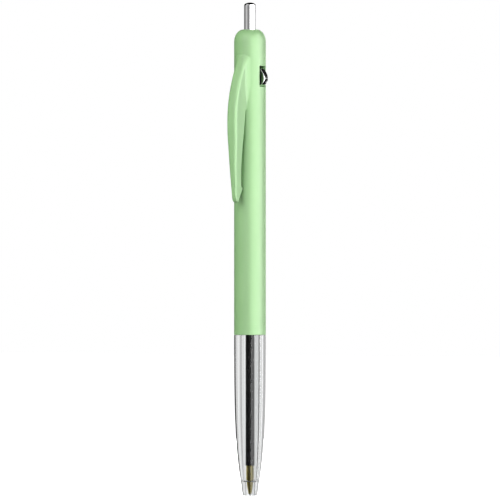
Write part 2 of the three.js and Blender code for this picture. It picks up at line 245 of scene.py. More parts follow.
def weld_and_turn_outwards(mesh):
    shape = bmesh.new()
    shape.from_mesh(mesh)
    bmesh.ops.remove_doubles(shape, verts=shape.verts, dist=1e-8)
    bmesh.ops.recalc_face_normals(shape, faces=shape.faces)
    shape.to_mesh(mesh)
    shape.free()


def grid_faces(rows, columns, wrap_rows):
    """Quads over a grid of points whose columns always wrap round."""
    last = rows if wrap_rows else rows - 1
    i = np.arange(last)[:, None]
    j = np.arange(columns)[None, :]
    a = i * columns + j
    b = i * columns + (j + 1) % columns
    c = ((i + 1) % rows) * columns + (j + 1) % columns
    d = ((i + 1) % rows) * columns + j
    return np.stack([a, b, c, d], axis=-1).reshape(-1, 4)


def lathe(name, profile, sides=SIDES, radius=None):
    """Turns (radius, z) points about Z. They start and end on the axis, or else make a closed loop."""
    profile = np.asarray(profile, float)
    on_axis = profile[0, 0] < 1e-9 and profile[-1, 0] < 1e-9
    angle = np.linspace(0, 2 * math.pi, sides, endpoint=False)[None, :]
    r = np.repeat(profile[:, :1], sides, axis=1)
    z = np.repeat(profile[:, 1:], sides, axis=1)
    if radius is not None:
        r = radius(r, angle, z)
    vertices = np.stack([r * np.cos(angle), r * np.sin(angle), z], axis=-1).reshape(-1, 3)
    return mesh_object(name, vertices, grid_faces(len(profile), sides, not on_axis))


def swept(name, centres, across, along, section):
    """Carries a closed section along a line; across and along are the section's two directions."""
    points = (
        centres[:, None, :]
        + section[..., 0][..., None] * across[:, None, :]
        + section[..., 1][..., None] * along[:, None, :]
    )
    rows, columns = points.shape[:2]
    faces = grid_faces(rows, columns, False).tolist()
    faces.append(list(range(columns)))
    faces.append([(rows - 1) * columns + j for j in reversed(range(columns))])
    return mesh_object(name, points.reshape(-1, 3), faces)


# ---------------------------------------------------------------- solids from distance fields

def meet(a, b, radius):
    """Distance to what is inside both, with its convex edges rounded."""
    corner = np.sqrt(np.maximum(a + radius, 0) ** 2 + np.maximum(b + radius, 0) ** 2)
    return np.minimum(np.maximum(a, b), -radius) + corner


def fuse(a, b, radius):
    """Distance to what is inside either, with its inner corners filleted."""
    corner = np.sqrt(np.maximum(radius - a, 0) ** 2 + np.maximum(radius - b, 0) ** 2)
    return np.maximum(np.minimum(a, b), radius) - corner


def outline_distances(u, v, outline):
    """The distance to each group of an outline's segments, and whether a point is inside it."""
    u, v = np.broadcast_arrays(u, v)
    shape = u.shape
    points = np.column_stack([u.ravel(), v.ravel()])
    starts = outline[:-1]
    steps = outline[1:] - outline[:-1]
    squared = (steps ** 2).sum(axis=1)
    distance = np.empty((len(points), len(starts)), np.float32)
    inside = np.zeros(len(points), bool)
    for k, (start, step) in enumerate(zip(starts, steps)):
        offset = points - start
        share = np.clip(offset @ step / squared[k], 0, 1)
        distance[:, k] = np.linalg.norm(offset - share[:, None] * step, axis=1)
        end = start + step
        crosses = (start[1] > points[:, 1]) != (end[1] > points[:, 1])
        if step[1] != 0:
            at = start[0] + (points[:, 1] - start[1]) * step[0] / step[1]
            inside ^= crosses & (points[:, 0] < at)
    return distance, inside, shape


def surface_nets(xs, ys, zs, field):
    """One vertex in each grid cell that the surface crosses, and one quad for each crossed edge."""
    values = field(xs[:, None, None], ys[None, :, None], zs[None, None, :])
    inside = values < 0
    nx, ny, nz = values.shape
    corners = [(i, j, k) for i in (0, 1) for j in (0, 1) for k in (0, 1)]
    count = sum(
        inside[i:nx - 1 + i, j:ny - 1 + j, k:nz - 1 + k].astype(np.int8) for i, j, k in corners
    )
    crossed = (count > 0) & (count < 8)
    ci, cj, ck = np.nonzero(crossed)
    number = np.full(crossed.shape, -1, np.int64)
    number[crossed] = np.arange(len(ci))
    total = np.zeros((len(ci), 3))
    hits = np.zeros(len(ci))
    for i, j, k in corners:
        for axis in range(3):
            if (i, j, k)[axis] == 1:
                continue
            far = [i, j, k]
            far[axis] = 1
            va = values[ci + i, cj + j, ck + k]
            vb = values[ci + far[0], cj + far[1], ck + far[2]]
            hit = (va < 0) != (vb < 0)
            t = np.where(hit, va / np.where(hit, va - vb, 1), 0)
            pa = np.column_stack([xs[ci + i], ys[cj + j], zs[ck + k]])
            pb = np.column_stack([xs[ci + far[0]], ys[cj + far[1]], zs[ck + far[2]]])
            total += hit[:, None] * (pa + t[:, None] * (pb - pa))
            hits += hit
    vertices = total / hits[:, None]
    return vertices, net_faces(inside, number)


def net_faces(inside, number):
    faces = []
    for axis in range(3):
        low = [slice(None)] * 3
        high = [slice(None)] * 3
        low[axis] = slice(None, -1)
        high[axis] = slice(1, None)
        changes = inside[tuple(low)] != inside[tuple(high)]
        points = np.argwhere(changes)
        u, v = (axis + 1) % 3, (axis + 2) % 3
        whole = (points[:, u] > 0) & (points[:, v] > 0)
        whole &= (points[:, u] < inside.shape[u] - 1) & (points[:, v] < inside.shape[v] - 1)
        points = points[whole]
        goes_out = inside[tuple(low)][tuple(points.T)]
        ring = []
        for du, dv in ((-1, -1), (0, -1), (0, 0), (-1, 0)):
            cell = points.copy()
            cell[:, u] += du
            cell[:, v] += dv
            ring.append(number[tuple(cell.T)])
        quads = np.column_stack(ring)
        faces.append(quads[goes_out])
        faces.append(quads[~goes_out][:, ::-1])
    return np.vstack(faces)


def slope_of(points, field, reach=0.004):
    """The field's value and slope at each point, from four samples round it."""
    value = 0
    slope = 0
    for corner in ((1, -1, -1), (-1, -1, 1), (-1, 1, -1), (1, 1, 1)):
        x, y, z = (points + reach * np.array(corner)).T
        sample = field(x, y, z)
        value = value + sample / 4
        slope = slope + sample[:, None] * np.array(corner) / (4 * reach)
    return value, slope


def settle(points, field, rounds=2):
    """Moves points onto the surface along the field's slope, and gives the outward directions too."""
    for _ in range(rounds):
        value, slope = slope_of(points, field)
        size = np.maximum(np.linalg.norm(slope, axis=1), 0.2)
        move = np.clip(value / size, -0.1, 0.1)
        points = points - slope * (move / size)[:, None]
    slope = slope_of(points, field)[1]
    return points, slope / np.maximum(np.linalg.norm(slope, axis=1), 0.2)[:, None]


def field_object(name, xs, ys, zs, field):
    vertices, faces = surface_nets(xs, ys, zs, field)
    vertices, normals = settle(vertices, field)
    return mesh_object(name, vertices, faces, normals)


def steps(*stretches):
    """Grid lines over stretches of (start, end, spacing)."""
    lines = [np.arange(start, end - spacing / 2, spacing) for start, end, spacing in stretches]
    return np.concatenate([*lines, [stretches[-1][1]]])


# ---------------------------------------------------------------- upper barrel with its clip

CLIP_OUTER_SIDE = joined(
    (CLIP_BURIED_X, CLIP_ROOT_Z + 0.2),
    (BARREL_R, CLIP_ROOT_Z),
    bezier((BARREL_R, CLIP_ROOT_Z), (6.6, 121.8), (10.0, 116.5), (CLIP_REACH, CLIP_CREST_Z)),
    bezier((CLIP_REACH, CLIP_CREST_Z), (CLIP_REACH, 101.5), (9.3, 92.0), (8.64, 86.3)),
    bezier((8.64, 86.3), (8.4, 84.4), (7.4, 83.5), (6.77, 85.05), 40),
)
CLIP_INNER_SIDE = joined(
    (6.77, 85.05),
    (4.98, 88.1),
    (4.98, 88.7),
    (5.62, 89.0),
    bezier((5.62, 89.0), (6.35, 93.0), (6.3, 99.0), (5.2, 106.8)),
    (BARREL_R, 110.9),
    (CLIP_BURIED_X, 111.1),
)
CLIP_SIDE = joined(CLIP_OUTER_SIDE, CLIP_INNER_SIDE, (CLIP_BURIED_X, CLIP_ROOT_Z + 0.2))


def clip_half_width(z):
    share = np.clip((z - CLIP_TAPER_END_Z) / (CLIP_TAPER_TOP_Z - CLIP_TAPER_END_Z), 0, 1)
    return CLIP_END_HALF_WIDTH + (CLIP_HALF_WIDTH - CLIP_END_HALF_WIDTH) * share


def clip_field(x, y, z):
    """The clip is where its side outline and its front outline meet, with rounded edges."""
    u = -x + CLIP_CROWN * (y / CLIP_HALF_WIDTH) ** 2
    distance, inside, shape = outline_distances(u, z, CLIP_SIDE)
    outer_count = len(CLIP_OUTER_SIDE) - 1
    to_outer = distance[:, :outer_count].min(axis=1)
    to_inner = distance[:, outer_count:].min(axis=1)
    side = np.where(inside, -1, 1) * np.minimum(to_outer, to_inner)
    share = to_inner / (to_inner + to_outer + 1e-6)
    side = side.reshape(shape)
    share = share.reshape(shape)
    half_width = clip_half_width(z)
    front = np.abs(y) - half_width
    arch = np.hypot(y, z - CLIP_ARCH_Z) - CLIP_HALF_WIDTH
    front = np.where(z > CLIP_ARCH_Z, arch, front)
    end_z = CLIP_END_Z + CLIP_END_HALF_WIDTH
    end = np.hypot(y, z - end_z) - CLIP_END_HALF_WIDTH
    front = np.where(z < end_z, end, front)
    edge = CLIP_INNER_EDGE + (CLIP_OUTER_EDGE - CLIP_INNER_EDGE) * share ** 2 * (3 - 2 * share)
    edge = np.minimum(edge, 0.6 * half_width)
    return meet(side, front, edge)


def barrel_shell(r, z):
    """The outside of the barrel, with its elliptical shoulder."""
    dr = np.maximum(r - TOP_FLAT_R, 0)
    dz = z - (BARREL_TOP_Z - SHOULDER_HEIGHT)
    width = BARREL_R - TOP_FLAT_R
    k0 = np.hypot(dr / width, dz / SHOULDER_HEIGHT)
    k1 = np.hypot(dr / width ** 2, dz / SHOULDER_HEIGHT ** 2)
    shoulder = k0 * (k0 - 1) / np.maximum(k1, 1e-6)
    return np.where(dz > 0, shoulder, r - BARREL_R)


def clip_fillet(z):
    """The clip runs into the barrel softly at its root and stands clear of it below."""
    share = np.clip((z - CLIP_FILLET_LOW_Z) / (CLIP_FILLET_HIGH_Z - CLIP_FILLET_LOW_Z), 0, 1)
    return CLIP_FILLET_LEAST + (CLIP_FILLET - CLIP_FILLET_LEAST) * share


def with_clip(shell, x, y, z):
    """Adds the clip, working it out only near it, for points in a row or for a grid."""
    if x.ndim == 1:
        near = (x < CLIP_NEAR_X) & (z > CLIP_NEAR_Z)
        heights = z[near]
        clip = clip_field(x[near], y[near], heights)
    else:
        columns = int((x < CLIP_NEAR_X).sum())
        layer = int((z <= CLIP_NEAR_Z).sum())
        near = (slice(0, columns), slice(None), slice(layer, None))
        heights = z[:, :, layer:]
        clip = clip_field(x[:columns], y, heights)
    result = shell.copy()
    result[near] = fuse(shell[near], clip, clip_fillet(heights))
    return result


def upper_barrel_field(x, y, z):
    r = np.hypot(x, y)
    shell = barrel_shell(r, z)
    shell = with_clip(shell, x, y, z)
    bore = np.maximum(r - BARREL_BORE_R, z - (BARREL_TOP_Z - TOP_WALL))
    void = np.minimum(bore, r - TOP_HOLE_R)
    solid = meet(shell, -void, 0.1)
    solid = meet(solid, SEAM_Z - z, 0.1)
    across = np.abs(x) - WINDOW_HALF_WIDTH
    upright = np.abs(z - (WINDOW_LOW_Z + WINDOW_HIGH_Z) / 2) - (WINDOW_HIGH_Z - WINDOW_LOW_Z) / 2
    window = np.maximum(meet(across, upright, 0.2), y + 1)
    return meet(solid, -window, 0.12)


def build_upper_barrel():
    fine = 0.15
    xs = steps((-10.45, 4.9, fine))
    ys = steps((-4.88, 4.88, fine))
    zs = steps((46.2, 46.6, 0.05), (46.6, 82.6, 0.9), (82.6, 134.4, fine))
    return field_object("upper_barrel_shell", xs, ys, zs, upper_barrel_field)


# ---------------------------------------------------------------- sleeve, latch, pin

def sleeve_field(x, y, z):
    r = np.hypot(x, y)
    tube = meet(r - SLEEVE_R, SLEEVE_BORE_R - r, 0.05)
    tube = meet(tube, np.maximum(SLEEVE_LOW_Z - z, z - SLEEVE_TOP_Z), 0.15)
    upright = np.abs(z - (SLOT_LOW_Z + SLOT_HIGH_Z) / 2) - (SLOT_HIGH_Z - SLOT_LOW_Z) / 2
    slot = np.maximum(meet(np.abs(x) - SLOT_HALF_WIDTH, upright, 0.3), y)
    pin_hole = np.hypot(y - PIN_Y, z - PIN_Z) - PIN_HOLE_R
    return meet(meet(tube, -slot, 0.06), -pin_hole, 0.03)


def build_guide_sleeve():
    flat = steps((-3.28, 3.28, 0.13))
    zs = steps((105.9, 106.5, 0.1), (106.5, 110.8, 0.5), (110.8, 124.8, 0.14), (124.8, 132.5, 0.2))
    return field_object("guide_sleeve_moulding", flat, flat, zs, sleeve_field)


def latch_line():
    """The latch's middle line as (distance towards -Y, z), from its free end to its hook."""
    corner_z = WINDOW_LOW_Z + 0.22
    neck = 2.84
    furthest = 5.44
    return joined(
        bezier((4.07, 122.95), (4.72, 122.0), (furthest, 121.1), (furthest, 120.1), 40),
        bezier((furthest, 120.1), (furthest, 118.8), (4.4, corner_z), (3.06, corner_z), 50),
        bezier((3.06, corner_z), (2.92, corner_z), (neck, 117.85), (neck, 117.7), 16),
        np.linspace((neck, 117.7), (neck, 117.0), 6),
        bezier((neck, 117.0), (neck, 115.6), (2.2, 114.4), (2.2, 112.9), 30),
        bezier((2.2, 112.9), (2.2, 112.5), (2.15, 112.2), (1.9, 112.05), 16),
    )


def rounded_box_section(half_width, half_thickness, edge, steps_per_corner=4):
    """A rectangle with round corners as (across its thickness, across its width) points."""
    points = []
    for quarter in range(4):
        centre_angle = math.pi / 4 + quarter * math.pi / 2
        a = math.copysign(half_thickness - edge, math.cos(centre_angle))
        b = math.copysign(half_width - edge, math.sin(centre_angle))
        for s in np.linspace(-math.pi / 4, math.pi / 4, steps_per_corner + 1):
            angle = centre_angle + s
            points.append((a + edge * math.cos(angle), b + edge * math.sin(angle)))
    return np.array(points)


def build_release_latch():
    line = latch_line()
    tangent = np.gradient(line, axis=0)
    tangent /= np.linalg.norm(tangent, axis=1)[:, None]
    count = len(line)
    centres = np.column_stack([np.zeros(count), -line[:, 0], line[:, 1]])
    across = np.column_stack([np.zeros(count), tangent[:, 1], tangent[:, 0]])
    along = np.tile([1.0, 0.0, 0.0], (count, 1))
    travelled = np.concatenate([[0], np.cumsum(np.linalg.norm(np.diff(line, axis=0), axis=1))])
    from_end = np.minimum(travelled, travelled[-1] - travelled)
    corner = 0.28
    inset = corner - np.sqrt(corner ** 2 - np.clip(corner - from_end, 0, corner) ** 2)
    section = rounded_box_section(LATCH_HALF_WIDTH, LATCH_THICKNESS / 2, 0.055)
    narrowing = (LATCH_HALF_WIDTH - inset) / LATCH_HALF_WIDTH
    sections = np.stack([
        np.tile(section[:, 0], (count, 1)),
        section[None, :, 1] * narrowing[:, None],
    ], axis=-1)
    return swept("release_latch_strip", centres, across, along, sections)


def build_latch_pin():
    profile = rounded(np.array([
        (0, -PIN_HALF_LENGTH),
        (PIN_R, -PIN_HALF_LENGTH),
        (PIN_R, PIN_HALF_LENGTH),
        (0, PIN_HALF_LENGTH),
    ]), 0.06, closed=False)
    angle = np.linspace(0, 2 * math.pi, 48, endpoint=False)[None, :]
    r = profile[:, :1]
    x = np.repeat(profile[:, 1:], 48, axis=1)
    vertices = np.stack([x, PIN_Y + r * np.cos(angle), PIN_Z + r * np.sin(angle)], axis=-1)
    return mesh_object("latch_pin_wire", vertices.reshape(-1, 3), grid_faces(len(profile), 48, False))


# ---------------------------------------------------------------- front barrel and nose

def front_outside():
    """The front barrel's outside from its lower end up to the seam, with its fine moulded ribs."""
    curve = bezier((FRONT_END_R, FRONT_END_Z), (4.65, 15.5), (4.52, 31.0), (4.56, SEAM_Z - 0.05), 900)
    z = np.concatenate([np.arange(4.9, 27.0, RIB_PITCH / 10), np.arange(27.5, SEAM_Z - 0.2, 1.0)])
    z = np.concatenate([[FRONT_END_Z, 4.6, 4.75], z, [SEAM_Z - 0.15, SEAM_Z - 0.05]])
    r = np.interp(z, curve[:, 1], curve[:, 0])
    r -= np.clip(FRONT_END_Z + JOINT_CHAMFER - z, 0, JOINT_CHAMFER)
    strength = np.clip((26.5 - z) / 16, 0, 1) * np.clip((z - 4.8) / 0.3, 0, 1)
    r = r - RIB_DEPTH * strength * (0.5 - 0.5 * np.cos(2 * math.pi * (z - 4.8) / RIB_PITCH))
    return np.column_stack([r, z])


def with_thread(r, angle, z):
    """Raises a right-hand screw ridge on the spigot."""
    on_spigot = np.abs(r - SPIGOT_R) < 1e-6
    phase = np.mod((z - THREAD_LOW_Z) / THREAD_PITCH - angle / (2 * math.pi), 1.0)
    ridge = np.clip(1.6 - np.abs(phase - 0.5) * 6.0, 0, 1)
    fade = np.clip((z - THREAD_LOW_Z) / 0.6, 0, 1) * np.clip((THREAD_HIGH_Z - z) / 0.6, 0, 1)
    return np.where(on_spigot, r + (THREAD_HEIGHT - 0.01) * ridge * fade, r)


def build_front_barrel():
    thread_z = np.arange(THREAD_LOW_Z, THREAD_HIGH_Z + 0.05, 0.1)
    inside = bezier((FRONT_BORE_R, SEAM_Z - 0.05), (FRONT_BORE_R, 30.0), (2.45, 13.0),
                    (FRONT_END_BORE_R, FRONT_END_Z), 80)
    profile = joined(
        front_outside(),
        (SPIGOT_R, SEAM_Z - 0.05),
        np.column_stack([np.full(len(thread_z), SPIGOT_R), thread_z]),
        (SPIGOT_R, SPIGOT_TOP_Z - 0.2),
        (SPIGOT_R - 0.2, SPIGOT_TOP_Z),
        (FRONT_BORE_R, SPIGOT_TOP_Z),
        inside,
    )
    return lathe("front_barrel_clear", rounded(profile, 0.06), 192, with_thread)


def build_nose_cone():
    profile = joined(
        (NOSE_BORE_R, 0),
        bezier((NOSE_END_R, 0), (2.2, 0.05), (2.3, 1.6), (NOSE_TOP_R, NOSE_HEIGHT - JOINT_CHAMFER), 50),
        (NOSE_TOP_R - JOINT_CHAMFER, NOSE_HEIGHT),
        (NOSE_BORE_R + 0.4, NOSE_HEIGHT),
        (NOSE_BORE_R, NOSE_HEIGHT - 0.4),
    )
    return lathe("nose_cone_clear", rounded(profile, 0.06), 160)


# ---------------------------------------------------------------- plunger, button, spring, seat

def build_push_button():
    dome = quarter_ellipse(0, BUTTON_TOP_Z - BUTTON_DOME, BUTTON_R, BUTTON_DOME, 40)
    dome[-1, 0] = 0
    inner = BUTTON_R - BUTTON_WALL
    low = COLLAR_TOP_Z + 0.05
    under = BUTTON_TOP_Z - BUTTON_DOME
    body = joined((0, under), (inner, under), (inner, low), (BUTTON_R, low), dome)
    return lathe("push_button_cap", rounded(body, 0.06, closed=False))


def build_plunger():
    collar_low = COLLAR_TOP_Z - 1.4
    stem_top = BUTTON_TOP_Z - BUTTON_DOME - 0.1
    profile = joined(
        (0, PLUNGER_SOCKET_TOP_Z),
        (PLUNGER_SOCKET_R, PLUNGER_SOCKET_TOP_Z),
        (PLUNGER_SOCKET_R, PLUNGER_LOW_Z),
        (PLUNGER_FOOT_R, PLUNGER_LOW_Z),
        (PLUNGER_FOOT_R, PLUNGER_LOW_Z + 1.6),
        (PLUNGER_SKIRT_R, PLUNGER_LOW_Z + 1.8),
        (PLUNGER_SKIRT_R, 99.0),
        (PLUNGER_R, 100.5),
        (PLUNGER_R, PLUNGER_NOTCH_LOW_Z),
        (PLUNGER_NOTCH_R, PLUNGER_NOTCH_LOW_Z),
        (PLUNGER_NOTCH_R, PLUNGER_NOTCH_LOW_Z + 0.9),
        (PLUNGER_R, PLUNGER_NOTCH_LOW_Z + 1.4),
        (PLUNGER_R, collar_low - 0.3),
        (PLUNGER_COLLAR_R, collar_low),
        (PLUNGER_COLLAR_R, COLLAR_TOP_Z),
        (PLUNGER_STEM_R, COLLAR_TOP_Z),
        (PLUNGER_STEM_R, stem_top),
        (0, stem_top),
    )
    return lathe("plunger_moulding", rounded(profile, 0.08, closed=False))


def spring_height(t):
    low = SEAT_FLANGE_TOP_Z + SPRING_WIRE_R + 0.05
    high = PLUNGER_LOW_Z - SPRING_WIRE_R - 0.05
    closed_rise = SPRING_CLOSED_TURNS * SPRING_WIRE_R * 2.3
    share = SPRING_CLOSED_TURNS / SPRING_TURNS
    return np.interp(t, [0, share, 1 - share, 1], [low, low + closed_rise, high - closed_rise, high])


def build_return_spring():
    t = np.linspace(0, 1, SPRING_TURNS * 48 + 1)
    kernel = np.ones(13) / 13
    z = np.convolve(np.pad(spring_height(t), 6, mode="edge"), kernel, mode="valid")
    angle = 2 * math.pi * SPRING_TURNS * t
    radial = np.column_stack([np.cos(angle), np.sin(angle), np.zeros(len(t))])
    centres = SPRING_R * radial + np.column_stack([np.zeros(len(t)), np.zeros(len(t)), z])
    tangent = np.gradient(centres, axis=0)
    tangent /= np.linalg.norm(tangent, axis=1)[:, None]
    upward = np.cross(tangent, radial)
    turn = np.linspace(0, 2 * math.pi, 16, endpoint=False)
    circle = SPRING_WIRE_R * np.column_stack([np.cos(turn), np.sin(turn)])
    sections = np.tile(circle, (len(t), 1, 1))
    return swept("return_spring_coil", centres, radial, upward, sections)


def build_spring_seat():
    profile = joined(
        (1.45, 53.5),
        (2.4, 53.5),
        (2.4, 58.05),
        (3.05, 58.05),
        (3.05, SEAT_FLANGE_TOP_Z),
        (1.45, SEAT_FLANGE_TOP_Z),
    )
    return lathe("spring_seat_bush", rounded(profile, 0.1))


# ---------------------------------------------------------------- refill

def build_refill_tube():
    profile = joined(
        (REFILL_BORE_R, REFILL_LOW_Z),
        (REFILL_R, REFILL_LOW_Z),
        (REFILL_R, REFILL_TOP_Z),
        (REFILL_BORE_R, REFILL_TOP_Z),
    )
    return lathe("refill_tube_drawn", rounded(profile, 0.08), 128)


def build_ink_column():
    """The ink, with a slightly hollow upper surface."""
    surface = quarter_ellipse(0, INK_TOP_Z, INK_R, -0.35, 16)
    surface[-1, 0] = 0
    profile = joined((0, INK_LOW_Z), (INK_R, INK_LOW_Z), surface)
    return lathe("ink_column_paste", profile, 96)


def build_refill_plug():
    shank = INK_R
    profile = joined(
        (0.3, REFILL_TOP_Z - 4.0),
        (shank, REFILL_TOP_Z - 4.0),
        (shank, REFILL_TOP_Z + 0.03),
        (REFILL_R, REFILL_TOP_Z + 0.03),
        (REFILL_R, REFILL_TOP_Z + 0.6),
        (0.3, REFILL_TOP_Z + 0.6),
    )
    return lathe("refill_plug_vented", rounded(profile, 0.06), 96)


def build_tip_holder():
    profile = joined(
        (BALL_R - 0.01, TIP_LIP_Z),
        bezier((0.47, TIP_LIP_Z), (0.62, 1.9), (TIP_R, 3.0), (TIP_R, TIP_CONE_TOP_Z), 60),
        (TIP_COLLAR_R, TIP_COLLAR_LOW_Z),
        (TIP_COLLAR_R, TIP_COLLAR_TOP_Z),
        (TIP_R, TIP_COLLAR_TOP_Z),
        (TIP_R, TIP_SHANK_TOP_Z),
        (TIP_CHANNEL_R, TIP_SHANK_TOP_Z),
        (TIP_CHANNEL_R, BALL_Z + BALL_R + 0.1),
        (BALL_R + 0.04, BALL_Z + 0.25),
        (BALL_R + 0.04, BALL_Z),
    )
    return lathe("tip_holder_turned", rounded(profile, 0.03), 128)


def build_writing_ball():
    angle = np.linspace(-math.pi / 2, math.pi / 2, 49)
    profile = np.column_stack([BALL_R * np.cos(angle), BALL_Z + BALL_R * np.sin(angle)])
    profile[0, 0] = 0
    profile[-1, 0] = 0
    return lathe("writing_ball_ground", profile, 96)


# ---------------------------------------------------------------- materials

class Finish:
    """A material built round one Principled shader, with noise in the frame's own coordinates."""

    def __init__(self, name, **sockets):
        self.material = bpy.data.materials.new(name)
        self.material.use_nodes = True
        self.tree = self.material.node_tree
        self.shader = self.tree.nodes["Principled BSDF"]
        self.place = self.add("ShaderNodeTexCoord").outputs["Object"]
        for socket, value in sockets.items():
            self.shader.inputs[socket.replace("_", " ")].default_value = value

    def add(self, kind, **settings):
        node = self.tree.nodes.new(kind)
        for key, value in settings.items():
            setattr(node, key, value)
        return node

    def link(self, a, b):
        self.tree.links.new(a, b)

    def noise(self, size_mm, stretch=(1, 1, 1), detail=4.0):
        """Noise whose blobs are about size_mm across, drawn out where stretch is above 1."""
        mapping = self.add("ShaderNodeMapping")
        scale = [1 / (size_mm * MILLIMETRE * s) for s in stretch]
        mapping.inputs["Scale"].default_value = scale
        self.link(self.place, mapping.inputs["Vector"])
        noise = self.add("ShaderNodeTexNoise")
        noise.inputs["Scale"].default_value = 1.0
        noise.inputs["Detail"].default_value = detail
        self.link(mapping.outputs["Vector"], noise.inputs["Vector"])
        return noise.outputs["Fac"]

    def ranged(self, value, low, high, from_low=0.3, from_high=0.7):
        node = self.add("ShaderNodeMapRange")
        node.inputs["From Min"].default_value = from_low
        node.inputs["From Max"].default_value = from_high
        node.inputs["To Min"].default_value = low
        node.inputs["To Max"].default_value = high
        self.link(value, node.inputs["Value"])
        return node.outputs["Result"]

    def colours(self, value, dark, light):
        ramp = self.add("ShaderNodeValToRGB")
        ramp.color_ramp.elements[0].position = 0.3
        ramp.color_ramp.elements[0].color = (*dark, 1)
        ramp.color_ramp.elements[1].position = 0.7
        ramp.color_ramp.elements[1].color = (*light, 1)
        self.link(value, ramp.inputs["Fac"])
        self.link(ramp.outputs["Color"], self.shader.inputs["Base Color"])

    def roughness(self, value, low, high):
        self.link(self.ranged(value, low, high), self.shader.inputs["Roughness"])

    def bump(self, value, height_mm, strength=1.0):
        node = self.add("ShaderNodeBump")
        node.inputs["Distance"].default_value = height_mm * MILLIMETRE
        node.inputs["Strength"].default_value = strength
        self.link(value, node.inputs["Height"])
        self.link(node.outputs["Normal"], self.shader.inputs["Normal"])


def green_plastic():
    finish = Finish(
        "green_moulded_plastic",
        Specular_IOR_Level=0.8,
        Coat_Weight=0.5,
        Coat_Roughness=0.35,
        Coat_IOR=1.5,
    )
    finish.colours(finish.noise(2.5, (1, 1, 4)), (0.252, 0.480, 0.196), (0.272, 0.505, 0.212))
    finish.roughness(finish.noise(0.8, (1, 1, 3)), 0.50, 0.58)
    finish.bump(finish.noise(0.22), 0.002, 0.6)
    return finish.material


def black_plastic():
    finish = Finish("black_moulded_plastic", Specular_IOR_Level=0.25)
    finish.colours(finish.noise(1.2), (0.007, 0.007, 0.008), (0.014, 0.014, 0.015))
    finish.roughness(finish.noise(0.5), 0.35, 0.5)
    finish.bump(finish.noise(0.15), 0.004, 0.7)
    return finish.material


def clear_plastic():
    finish = Finish(
        "clear_polished_plastic",
        IOR=1.5,
        Specular_Tint=(0.4, 0.4, 0.4, 1.0),
        Transmission_Weight=1.0,
    )
    finish.colours(finish.noise(6.0, (1, 1, 3)), (0.955, 0.972, 0.972), (0.985, 0.992, 0.99))
    finish.roughness(finish.noise(1.5, (1, 1, 2)), 0.0, 0.02)
    finish.bump(finish.noise(4.0, (1, 1, 2)), 0.0012, 0.15)
    return finish.material


def chrome():
    finish = Finish("bright_chrome_plate", Metallic=1.0)
    finish.colours(finish.noise(1.5), (0.80, 0.80, 0.81), (0.87, 0.87, 0.87))
    finish.roughness(finish.noise(0.6, (1, 1, 0.3)), 0.05, 0.11)
    finish.bump(finish.noise(0.25, (3, 3, 0.4)), 0.0008, 0.5)
    return finish.material


def rolled_steel(name, light, low, high, grain):
    finish = Finish(name, Metallic=1.0)
    dark = tuple(c * 0.9 for c in light)
    finish.colours(finish.noise(0.6, grain), dark, light)
    finish.roughness(finish.noise(0.35, grain), low, high)
    finish.bump(finish.noise(0.06, grain), 0.0012, 0.6)
    return finish.material


def turned_brass():
    finish = Finish("turned_brass", Metallic=1.0)
    finish.colours(finish.noise(1.4), (0.74, 0.60, 0.16), (0.86, 0.73, 0.25))
    finish.roughness(finish.noise(0.5, (6, 6, 0.4)), 0.34, 0.46)
    finish.bump(finish.noise(0.12, (12, 12, 0.5)), 0.0012, 0.6)
    return finish.material


def refill_plastic():
    finish = Finish("dark_refill_plastic", Specular_IOR_Level=0.5)
    finish.colours(finish.noise(3.0, (1, 1, 6)), (0.003, 0.003, 0.004), (0.006, 0.006, 0.008))
    finish.roughness(finish.noise(0.8, (1, 1, 8)), 0.22, 0.32)
    finish.bump(finish.noise(0.3, (1, 1, 10)), 0.002, 0.5)
    return finish.material


def plug_plastic():
    finish = Finish("natural_plug_plastic", Specular_IOR_Level=0.4, Subsurface_Weight=0.15)
    finish.colours(finish.noise(1.0), (0.64, 0.64, 0.62), (0.72, 0.72, 0.70))
    finish.roughness(finish.noise(0.5), 0.4, 0.5)
    finish.bump(finish.noise(0.2), 0.003, 0.6)
    return finish.material


def ink():
    finish = Finish("black_ink_paste", Specular_IOR_Level=0.6)
    finish.colours(finish.noise(1.5), (0.002, 0.002, 0.004), (0.007, 0.006, 0.010))
    finish.roughness(finish.noise(0.9), 0.08, 0.18)
    finish.bump(finish.noise(0.6), 0.006, 0.6)
    return finish.material


def carbide():
    finish = Finish("ground_carbide", Metallic=1.0)
    finish.colours(finish.noise(0.2), (0.30, 0.31, 0.33), (0.42, 0.43, 0.45))
    finish.roughness(finish.noise(0.1), 0.1, 0.2)
    finish.bump(finish.noise(0.03), 0.0006, 0.5)
    return finish.material


# ---------------------------------------------------------------- stage

def camera_directions():
    """Unit vectors from the object towards the camera, and to the right in its picture."""
    azimuth = math.radians(CAMERA_AZIMUTH)
    towards = Vector((math.sin(azimuth), -math.cos(azimuth), 0))
    right = Vector((math.cos(azimuth), math.sin(azimuth), 0))
    return towards, right


def make_camera():
    towards, _ = camera_directions()
    data = bpy.data.cameras.new("main_camera")
    data.lens = CAMERA_LENS
    data.sensor_width = 36.0
    data.clip_start = 0.01
    data.clip_end = 50.0
    camera = bpy.data.objects.new("main_camera", data)
    camera.location = Vector((0, 0, AIM_Z)) + towards * CAMERA_DISTANCE
    camera.rotation_euler = (-towards).to_track_quat("-Z", "Y").to_euler()
    bpy.context.scene.collection.objects.link(camera)
    bpy.context.scene.camera = camera


# Brightness of the studio round the pen: (degrees to the right of the camera, brightness).
STUDIO = [
    (-180, 1.0),
    (-174, 1.0),
    (-166, 0.40),
    (-150, 0.14),
    (-125, 0.20),
    (-105, 0.32),
    (-60, 0.28),
    (-20, 0.26),
    (20, 0.36),
    (112, 0.44),
    (138, 0.44),
    (150, 0.50),
    (165, 0.80),
    (174, 1.0),
    (180, 1.0),
]
